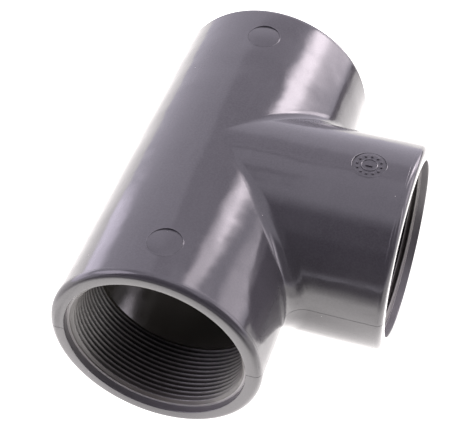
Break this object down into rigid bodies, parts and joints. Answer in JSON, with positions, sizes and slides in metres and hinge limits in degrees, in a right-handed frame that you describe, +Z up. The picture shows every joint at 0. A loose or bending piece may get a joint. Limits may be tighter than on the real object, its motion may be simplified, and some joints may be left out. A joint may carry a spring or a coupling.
{
  "type": "pipe tee fitting",
  "caption": "Equal PVC tee with a straight run, a branch square to it, rolled crotch fillets and a female parallel pipe thread set back inside every mouth.",
  "frame": {"origin": "the point where the run's axis and the branch's axis cross", "axes": "+Y along the run, +X along the branch towards its mouth, +Z up, square to both"},
  "size_m": [0.1301, 0.1696, 0.0906],
  "materials": {
    "body_pvc": "glossy moulded",
    "thread_pvc": "satin"
  },
  "bodies": {
    "root": {"tee_body": "body_pvc", "front_thread_sleeve": "thread_pvc", "rear_thread_sleeve": "thread_pvc", "branch_thread_sleeve": "thread_pvc"}
  },
  "joints": []
}
